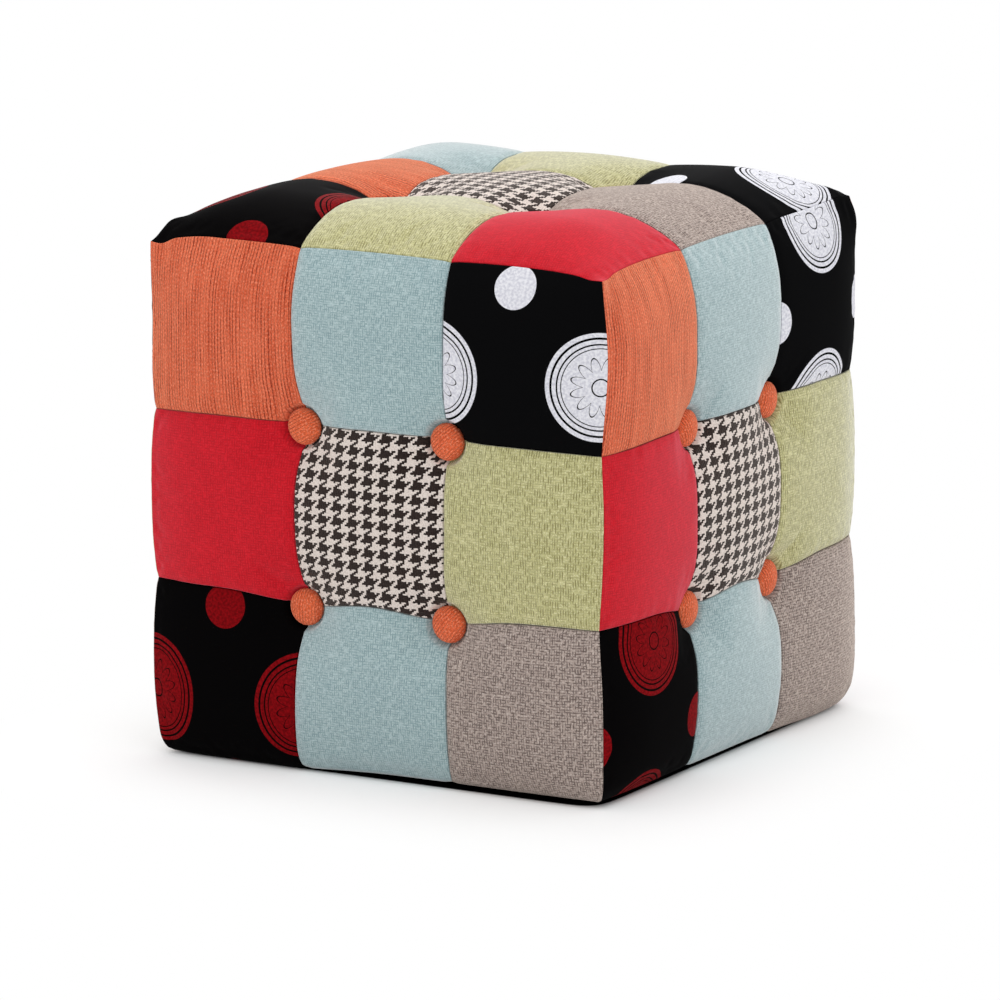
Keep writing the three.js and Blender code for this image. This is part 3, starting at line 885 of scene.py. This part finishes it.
cord = {"stitch": 1.6, "bump": 0.6}
yarn = {"warpShare": 1, "weftShare": 0.9, "flecks": 0.6, "bump": 0.3, "relief": 0.3}
discs = {
    "pitch": (116, 119), "disc": 34.5, "dot": 14.5, "rings": ((31, 1.4), (27.2, 1), (24.6, 0.6), (5.4, 0.9)),
    "flower": 11, "petalLength": 8, "flowerLine": 0.9, "petals": 12, "roughness": 0.8, "printRoughness": 0.6,
    "bump": 0.2, "relief": 0.25, "specular": 0.02,
}
clothLooks = {
    "orange": (cordWeave, cord | {
        "light": paint(234, 112, 76), "main": paint(217, 92, 57), "pale": paint(248, 156, 122),
        "dark": paint(112, 10, 0), "pitch": 2.3, "dashes": 0.3, "contrast": 1, "relief": 0.4, "sheen": 0.65,
        "sheenTint": paint(255, 192, 152),
    }),
    "red": (yarnWeave, yarn | {
        "main": paint(207, 20, 35), "soft": paint(200, 17, 32), "dark": paint(146, 6, 18),
        "light": paint(226, 56, 70), "pitch": 1.7, "slub": 5, "warpShare": 0.9, "flecks": 0.35,
        "contrast": 0.55, "bump": 0.15, "sheen": 0.45, "sheenTint": paint(255, 160, 178),
    }),
    "blue": (yarnWeave, yarn | {
        "main": paint(168, 190, 192), "soft": paint(161, 184, 187), "dark": paint(96, 128, 134),
        "light": paint(212, 226, 226), "pitch": 1.6, "slub": 4, "flecks": 0.5, "contrast": 0.74, "sheen": 0.9,
    }),
    "olive": (yarnWeave, yarn | {
        "main": paint(199, 195, 142), "soft": paint(190, 186, 131), "dark": paint(108, 102, 44),
        "light": paint(236, 233, 192), "pitch": 1.7, "slub": 5, "weftShare": 0.6, "contrast": 0.85,
        "sheen": 0.65,
    }),
    "taupe": (yarnWeave, yarn | {
        "main": paint(180, 164, 155), "soft": paint(172, 156, 148), "dark": paint(58, 42, 40),
        "light": paint(220, 208, 200), "pitch": 1.8, "slub": 3.5, "weftShare": 1, "contrast": 0.84,
        "bump": 0.35, "relief": 0.35, "sheen": 0.45, "sheenTint": paint(255, 240, 228),
    }),
    "houndstooth": (checkWeave, {
        "light": paint(234, 223, 215), "main": paint(209, 196, 188), "dark": paint(46, 33, 29),
        "deep": paint(24, 14, 12), "repeat": (11.4, 9.2), "darkShare": 0.54, "bump": 0.5, "relief": 0.4,
        "sheen": 0.3, "sheenTint": paint(255, 244, 236),
    }),
    "blackSilver": (discPrint, discs | {
        "ground": paint(5, 5, 6), "thread": paint(12, 12, 13), "print": paint(232, 232, 237),
        "shade": paint(202, 202, 212),
    }),
    "blackRed": (discPrint, discs | {
        "ground": paint(2, 2, 2), "thread": paint(7, 5, 6), "print": paint(138, 10, 17),
        "shade": paint(102, 6, 11),
    }),
    "buttonCloth": (cordWeave, cord | {
        "light": paint(242, 118, 76), "main": paint(226, 94, 52), "pale": paint(252, 168, 132),
        "dark": paint(124, 24, 6), "pitch": 2.1, "dashes": 0.45, "contrast": 0.8, "relief": 0.3,
        "sheen": 0.25, "sheenTint": paint(255, 205, 175),
    }),
}
clothLooks["orangeAcross"] = (lambda u, v, look: cordWeave(v, u, look), clothLooks["orange"][1])
cloths = {name: clothMaterial(name, weave, look) for name, (weave, look) in clothLooks.items()}


def solidMaterial(name, look):
    # wood, foam, metal and plastic: grain in cells of the given size in millimetres
    material, start = blankMaterial(name)
    place = start.node("TexCoord", output=3)
    stretched = place.node("Mapping", inputs={0: place, 3: [1 / (size * mm) for size in look["cell"]]})
    grain = place.node("TexNoise", inputs={"Vector": stretched, "Scale": 1.0, "Detail": 4.0})
    return dressed(material, {
        "Base Color": colourMix(grain.eased(0.3, 0.7), look["dark"], look["light"]),
        "Normal": bumped(grain, look),
        "Roughness": look["roughness"],
        "Metallic": look.get("metallic", 0),
    })


solidLooks = {
    "softwood": {"dark": paint(186, 142, 92), "light": paint(226, 190, 140), "cell": (4, 4, 60)},
    "railwood": {"dark": paint(182, 138, 88), "light": paint(224, 187, 136), "cell": (60, 60, 4)},
    "board": {"dark": paint(160, 122, 82), "light": paint(190, 152, 106), "cell": (2, 2, 2),
              "roughness": 0.85, "relief": 0.2},
    "foam": {"dark": paint(222, 214, 190), "light": paint(240, 234, 214), "cell": (1.2, 1.2, 1.2),
             "roughness": 0.95, "bump": 0.5, "relief": 0.4},
    "dustCloth": {"dark": paint(14, 14, 15), "light": paint(34, 34, 36), "cell": (0.9, 1.6, 2),
                  "roughness": 0.9, "bump": 0.4, "relief": 0.15},
    "staple": {"dark": paint(150, 150, 152), "light": paint(196, 196, 198), "cell": (3, 3, 3),
               "roughness": 0.3, "metallic": 1, "bump": 0.05, "relief": 0.05},
    "glide": {"dark": paint(16, 16, 17), "light": paint(26, 26, 28), "cell": (1.5, 1.5, 1.5),
              "roughness": 0.45, "bump": 0.1, "relief": 0.05},
    "twine": {"dark": paint(180, 170, 150), "light": paint(225, 216, 198), "cell": (0.5, 0.5, 0.5),
              "roughness": 0.8, "bump": 0.4, "relief": 0.1},
}
plain = {"roughness": 0.7, "bump": 0.3, "relief": 0.3}
solids = {name: solidMaterial(name, plain | look) for name, look in solidLooks.items()}
print("materials made")


# The forty-five patches

for face in faceNames:
    for row, fabricRow in enumerate(topPatches if face == "top" else sidePatches):
        for column, fabric in enumerate(fabricRow):
            sewnPatch(face, column, row, fabric)
    print(face, "patches sewn")


# Covered buttons

def capProfile(radius, height):
    # half of a cap's section, from its underside's middle, round its edge and past the side, to its crown
    edge, steps = buttonLook["edgeRadius"], buttonLook["domeSteps"]
    turns = [math.radians(-90 + 22.5 * step) for step in range(1, 6)]
    rim = [(radius - edge + edge * math.cos(turn), edge + edge * math.sin(turn)) for turn in turns]
    startRadius, startHeight = rim[-1]
    turns = [math.pi / 2 * step / steps for step in range(1, steps)]
    dome = [(startRadius * math.cos(turn) ** buttonLook["domePower"],
             startHeight + (height - startHeight) * math.sin(turn)) for turn in turns]
    return [(0, 0), (radius * 0.6, 0), (radius - edge, 0), *rim, *dome, (0, height)]


def spun(bm, profile, steps):
    # a closed turned shape about the upright axis
    before = set(bm.verts)
    verts = [bm.verts.new((x, 0, z)) for x, z in profile]
    edges = [bm.edges.new(pair) for pair in zip(verts, verts[1:])]
    bmesh.ops.spin(bm, geom=[*verts, *edges], cent=(0, 0, 0), axis=(0, 0, 1), angle=2 * math.pi,
                   steps=steps, use_merge=True, use_duplicate=False)
    new = [vert for vert in bm.verts if vert not in before]
    bmesh.ops.remove_doubles(bm, verts=new, dist=1e-6)
    new = [vert for vert in bm.verts if vert not in before]
    faces = list({face for vert in new for face in vert.link_faces})
    bmesh.ops.recalc_face_normals(bm, faces=faces)
    return new, faces


def rod(bm, radius, top, bottom, steps):
    return spun(bm, [(0, top), (radius, top), (radius, bottom), (0, bottom)], steps)[1]


def domeCloth(bm, faces, height, angle):
    # the cap's cloth, laid flat from its crown outwards
    layer = bm.loops.layers.uv.verify()
    for face in faces:
        for loop in face.loops:
            x, y, z = loop.vert.co
            flat = math.hypot(x, y)
            reach = math.hypot(flat, height - z) / max(flat, 1e-9) / mm
            cos, sin = math.cos(angle) * reach, math.sin(angle) * reach
            loop[layer].uv = (x * cos - y * sin, x * sin + y * cos)


def coveredButton(name, face, quarters, angle):
    low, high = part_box(name)
    axis = 2 if face == "top" else (1, 0)[quarters % 2]
    length = high[axis] - low[axis]
    height, radius = buttonLook["capHeight"], buttonCaps[face]["radius"]
    bm = bmesh.new()
    bm.loops.layers.uv.new("cloth")
    capVerts, capFaces = spun(bm, capProfile(radius, height), buttonLook["ring"])
    for vert in capVerts:
        around = math.atan2(vert.co.y, vert.co.x)
        away = math.hypot(vert.co.x, vert.co.y) / radius
        fold = math.cos(around * buttonLook["pleats"] + angle) * buttonLook["pleatDepth"]
        vert.co.xy *= 1 + fold / radius * max(0, away - buttonLook["pleatStart"]) * buttonLook["pleatGrowth"]
    domeCloth(bm, capFaces, height, angle)
    tail = length - height
    knot = buttonLook["washerThickness"] - tail
    twineFaces = rod(bm, buttonLook["twineRadius"], buttonLook["twineTop"], knot, buttonLook["twineRing"])
    washerFaces = rod(bm, buttonLook["washerRadius"], knot - 0.01 * mm, -tail, buttonLook["washerRing"])
    for index, faces in enumerate((capFaces, twineFaces, washerFaces)):
        for one in faces:
            one.material_index = index
    centre = (low + high) / 2
    out = Vector(turned(outward[face], quarters))
    sign = 1 if sum(out) > 0 else -1
    centre[axis] = (high[axis] if sign > 0 else low[axis]) - sign * height
    turn = out.to_track_quat("Z", "Y").to_matrix().to_4x4()
    bmesh.ops.transform(bm, matrix=Matrix.Translation(centre) @ turn, verts=bm.verts[:])
    materials = [cloths["buttonCloth"], solids["twine"], solids["staple"]]
    piece = placed(name + "_covered", bm, materials)
    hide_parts(name)


ribTurns = {"front_button_upper_left": 62, "front_button_upper_right": 48, "front_button_lower_left": 4,
            "front_button_lower_right": 40}
chance = random.Random(3)
for quarters, side in enumerate(sideNames):
    for name in buttonNames(side):
        coveredButton(name, side, quarters, math.radians(ribTurns.get(name, chance.uniform(-25, 25))))
for name in buttonNames("top"):
    coveredButton(name, "top", 0, chance.uniform(0, 3))
print("buttons covered")


# Foam behind the covers

foamLook = {"bevel": 2.5 * mm, "cut": 9 * mm, "dent": 2.5 * mm, "dentSpread": 16 * mm, "inset": 0.2 * mm}


def foamSlab(name, face):
    low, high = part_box(name)
    size = [high[i] - low[i] - 2 * foamLook["inset"] for i in range(3)]
    bm = bmesh.new()
    place = Matrix.Translation((low + high) / 2) @ Matrix.Diagonal((*size, 1))
    bmesh.ops.create_cube(bm, size=1, matrix=place)
    cuts = int(max(size) / foamLook["cut"])
    thick = size.index(min(size))
    bmesh.ops.bevel(bm, geom=bm.edges[:], offset=foamLook["bevel"], offset_type="OFFSET", segments=3,
                    profile=0.5, affect="EDGES", material=-1)
    long = [edge for edge in bm.edges if edge.calc_length() > 3 * foamLook["cut"]]
    bmesh.ops.subdivide_edges(bm, edges=long, cuts=cuts, use_grid_fill=True)
    sign = 1 if face in ("top", "right", "back") else -1
    outer = high[thick] if sign > 0 else low[thick]
    dent, spread = sign * foamLook["dent"], foamLook["dentSpread"]
    for button in buttonNames(face):
        middle = sum(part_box(button), Vector()) / 2
        for vert in bm.verts:
            away = vert.co - middle
            away[thick] = 0
            if abs(vert.co[thick] - outer) < foamLook["bevel"]:
                vert.co[thick] -= dent * math.exp(-(away.length / spread) ** 2)
    piece = placed(name + "_slab", bm, [solids["foam"]])
    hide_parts(name)


for side in sideNames:
    foamSlab(side + "_foam", side)
foamSlab("seat_foam", "top")
print("foam cut")


# Underside: dust cover, staples and glides

dust = {"thickness": 0.8 * mm, "cells": 40, "sag": 0.9 * mm, "ripple": 0.12 * mm, "waves": ((9, 4), (-3, 11))}
stapling = {"crown": 9 * mm, "wire": 0.35 * mm, "leg": 2.4 * mm, "bend": 0.7 * mm, "inset": 5 * mm, "each": 8,
            "reach": 0.86, "stray": 1.2 * mm, "sunk": 0.15 * mm, "tilt": 0.2}


def dustSheet():
    low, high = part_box("dust_cover")
    bm = bmesh.new()
    middle = (low + high) / 2
    bmesh.ops.create_grid(bm, x_segments=dust["cells"], y_segments=dust["cells"], size=1)
    half = (high.x - low.x) / 2
    for vert in bm.verts:
        x, y = vert.co.x, vert.co.y
        slack = max(0, 1 - max(abs(x), abs(y)) ** 4)
        ripple = math.prod(math.sin(x * a + y * b) for a, b in dust["waves"]) * dust["ripple"]
        vert.co = (middle.x + x * half, middle.y + y * half, low.z - dust["sag"] * slack + ripple * slack)
    made = bmesh.ops.extrude_face_region(bm, geom=bm.faces[:], use_keep_orig=True)
    bmesh.ops.translate(bm, verts=only(bmesh.types.BMVert, made["geom"]), vec=(0, 0, dust["thickness"]))
    bmesh.ops.recalc_face_normals(bm, faces=bm.faces[:])
    piece = placed("dust_cover_sheet", bm, [solids["dustCloth"]])
    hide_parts("dust_cover")


def bentWire(bm, matrix):
    # one staple: two legs and a crown of round wire
    bend, leg = stapling["bend"], stapling["leg"]
    half, turn = stapling["crown"] / 2 - bend, matrix.to_3x3()
    start = matrix @ Matrix.Translation((-half - bend, 0, leg))
    ring = bmesh.ops.create_circle(bm, segments=6, radius=stapling["wire"], cap_ends=False, matrix=start)
    edges = list({edge for vert in ring["verts"] for edge in vert.link_edges})
    bmesh.ops.contextual_create(bm, geom=edges)

    def pulled(edges, vector):
        made = bmesh.ops.extrude_edge_only(bm, edges=edges)["geom"]
        bmesh.ops.translate(bm, verts=only(bmesh.types.BMVert, made), vec=turn @ Vector(vector))
        return only(bmesh.types.BMEdge, made)

    def bent(edges, across):
        centre, axis = matrix @ Vector((across, 0, bend)), turn @ Vector((0, -1, 0))
        made = bmesh.ops.spin(bm, geom=edges, cent=centre, axis=axis, angle=math.pi / 2, steps=3,
                              use_merge=False, use_duplicate=False)
        return only(bmesh.types.BMEdge, made["geom_last"])

    edges = bent(pulled(edges, (0, 0, bend - leg)), -half)
    edges = bent(pulled(edges, (2 * half, 0, 0)), half)
    bmesh.ops.contextual_create(bm, geom=pulled(edges, (0, 0, leg - bend)))


def stapleRows():
    low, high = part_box("dust_cover")
    chance = random.Random(8)
    half = high.x - stapling["inset"]
    for quarters, side in enumerate(sideNames):
        bm = bmesh.new()
        for number in range(stapling["each"]):
            share = (number + 0.5) / stapling["each"] * 2 - 1
            stray = chance.uniform(-1, 1) * stapling["stray"]
            place = (share * half * stapling["reach"], -half + stray, low.z - stapling["sunk"])
            turn = Matrix.Rotation(math.radians(90) * quarters, 4, "Z")
            tilt = Matrix.Rotation(chance.uniform(-stapling["tilt"], stapling["tilt"]), 4, "Z")
            bentWire(bm, turn @ Matrix.Translation(place) @ tilt)
        bmesh.ops.recalc_face_normals(bm, faces=bm.faces[:])
        placed(f"{side}_staples", bm, [solids["staple"]])


glideLook = {"ring": 40, "nailRadius": 1.25 * mm, "rounding": 0.5 * mm, "point": 2.5 * mm, "height": 2.4 * mm,
             "taper": 1.2 * mm}


def nailedGlide(name):
    low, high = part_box(name)
    radius, height, nail = (high.x - low.x) / 2, glideLook["height"], glideLook["nailRadius"]
    foot, soft = radius - glideLook["taper"], glideLook["rounding"]
    profile = [(0, 0), (foot - soft, 0), (foot - soft * 0.3, soft * 0.25), (foot, soft * 0.8),
               (radius - soft * 0.2, height - soft), (radius - soft, height), (nail, height),
               (nail, high.z - glideLook["point"]), (0, high.z)]
    bm = bmesh.new()
    spun(bm, profile, glideLook["ring"])
    middle = (low + high) / 2
    bmesh.ops.translate(bm, verts=bm.verts[:], vec=(middle.x, middle.y, 0))
    piece = placed(name + "_turned", bm, [solids["glide"]])
    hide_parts(name)


dustSheet()
stapleRows()
for row in ("front", "back"):
    for column in ("left", "right"):
        nailedGlide(f"glide_{row}_{column}")
print("underside made")


# The frame's own wood keeps its shape

for name, node in frame["nodes"].items():
    wood = "board" if name.endswith("board") else "railwood" if name.endswith("rail") else "softwood"
    if not node.hide_render:
        for slot in node.material_slots:
            slot.material = solids[wood]


# Studio

studio = {
    "floorSize": 14,
    "floorColour": paint(243, 243, 243),
    "paintedShadowColour": paint(14, 14, 15),  # painted shadow: a dark floor colour under the tuffet, standing for the shade in the narrow gap below its rim
    "paintedShadowHalf": (157 * mm, 160.5 * mm),
    "paintedShadowFade": 2 * mm,
    "paintedShadowPower": 20,  # how square its corners are
    "glowNear": 0.3,  # share of plain white in what the camera sees of the floor, beside the tuffet
    "glowFar": 0.75,  # and how much more of it further off
    "nearReach": 9 * mm,
    "farReach": 170 * mm,
    "sky": 0.72,
    "lamps": {  # strength, and where from
        "softbox": (1.44, (0.05, 0.02, 1)),
        "backlight": (0.9, (-0.5, 0.86, 0.45)),
    },
    "lampAngle": 60,
}
camera = {
    "azimuth": 30.5955,
    "elevation": 11.8818,
    "roll": -0.427,
    "distance": 4.95,
    "lens": 275.47,
    "sensor": 36,
    "clip": (0.1, 60),
    "aim": (-4.7 * mm, -13.893 * mm),  # from the middle of the cube, across and up the view
    "middle": 165 * mm,
}


def eyeRays(start):
    # camera, glossy and transmission rays see the white backdrop
    path = start.node("LightPath").socket.node
    rays = [Wire(start.tree, path.outputs[name]) for name in
            ("Is Camera Ray", "Is Glossy Ray", "Is Transmission Ray")]
    return rays[0].greater(rays[1]).greater(rays[2])


def makeFloor():
    bm = bmesh.new()
    bmesh.ops.create_grid(bm, x_segments=1, y_segments=1, size=studio["floorSize"])
    mesh = bpy.data.meshes.new("floor")
    bm.to_mesh(mesh)
    bm.free()
    material, start = blankMaterial("floor")
    glow = start.node("Emission", inputs={"Color": (1, 1, 1, 1), "Strength": 1.0})
    x, y, _ = start.node("TexCoord", output=3).split()
    (wide, deep), power = studio["paintedShadowHalf"], studio["paintedShadowPower"]
    apart = ((abs(x / wide) ** power + abs(y / deep) ** power) ** (1 / power) - 1) * deep
    # painted shadow: inside the tuffet's footprint the floor's own colour turns dark, for the shade in the
    # gap under the rim
    ground = colourMix(apart.eased(0, studio["paintedShadowFade"]), studio["paintedShadowColour"], studio["floorColour"])
    dressed(material, {"Base Color": ground, "Roughness": 1, "Specular IOR Level": 0})
    share = apart.eased(0, studio["nearReach"]) * studio["glowNear"]
    share = share + apart.eased(0, studio["farReach"]) * studio["glowFar"]
    both = start.node("MixShader", inputs={0: eyeRays(start) * share, 2: glow})
    tree = material.node_tree
    tree.links.new(tree.nodes["Principled BSDF"].outputs[0], both.socket.node.inputs[1])
    feed(tree, tree.nodes["Material Output"].inputs["Surface"], both)
    mesh.materials.append(material)
    floor = bpy.data.objects.new("floor", mesh)
    bpy.context.scene.collection.objects.link(floor)


def makeLight():
    scene = bpy.context.scene
    world = bpy.data.worlds.new("studio")
    scene.world = world
    world.use_nodes = True
    tree = world.node_tree
    tree.nodes.remove(tree.nodes["Background"])
    start = Wire(tree)
    soft, seen = (start.node("Background", inputs={"Color": (1, 1, 1, 1), "Strength": strength})
                  for strength in (studio["sky"], 1.0))
    both = start.node("MixShader", inputs={0: eyeRays(start), 1: soft, 2: seen})
    feed(tree, tree.nodes["World Output"].inputs["Surface"], both)
    for name, (strength, way) in studio["lamps"].items():
        lamp = bpy.data.lights.new(name, "SUN")
        lamp.energy = strength
        lamp.angle = math.radians(studio["lampAngle"])
        softbox = bpy.data.objects.new(name, lamp)
        softbox.rotation_mode = "QUATERNION"
        softbox.rotation_quaternion = Vector(way).to_track_quat("Z", "Y")
        scene.collection.objects.link(softbox)


def makeCamera():
    azimuth, elevation, roll = (math.radians(camera[name]) for name in ("azimuth", "elevation", "roll"))
    view = Matrix.Rotation(azimuth, 4, "Z") @ Matrix.Rotation(math.pi / 2 - elevation, 4, "X")
    away = Matrix.Translation((*camera["aim"], camera["distance"]))
    lens = bpy.data.cameras.new("camera")
    lens.lens, lens.sensor_width = camera["lens"], camera["sensor"]
    lens.clip_start, lens.clip_end = camera["clip"]
    eye = bpy.data.objects.new("camera", lens)
    middle = Matrix.Translation((0, 0, camera["middle"]))
    eye.matrix_world = middle @ view @ away @ Matrix.Rotation(roll, 4, "Z")
    bpy.context.scene.collection.objects.link(eye)
    bpy.context.scene.camera = eye


makeFloor()
makeLight()
makeCamera()
bpy.context.scene.view_settings.view_transform = "Standard"
print("studio set")
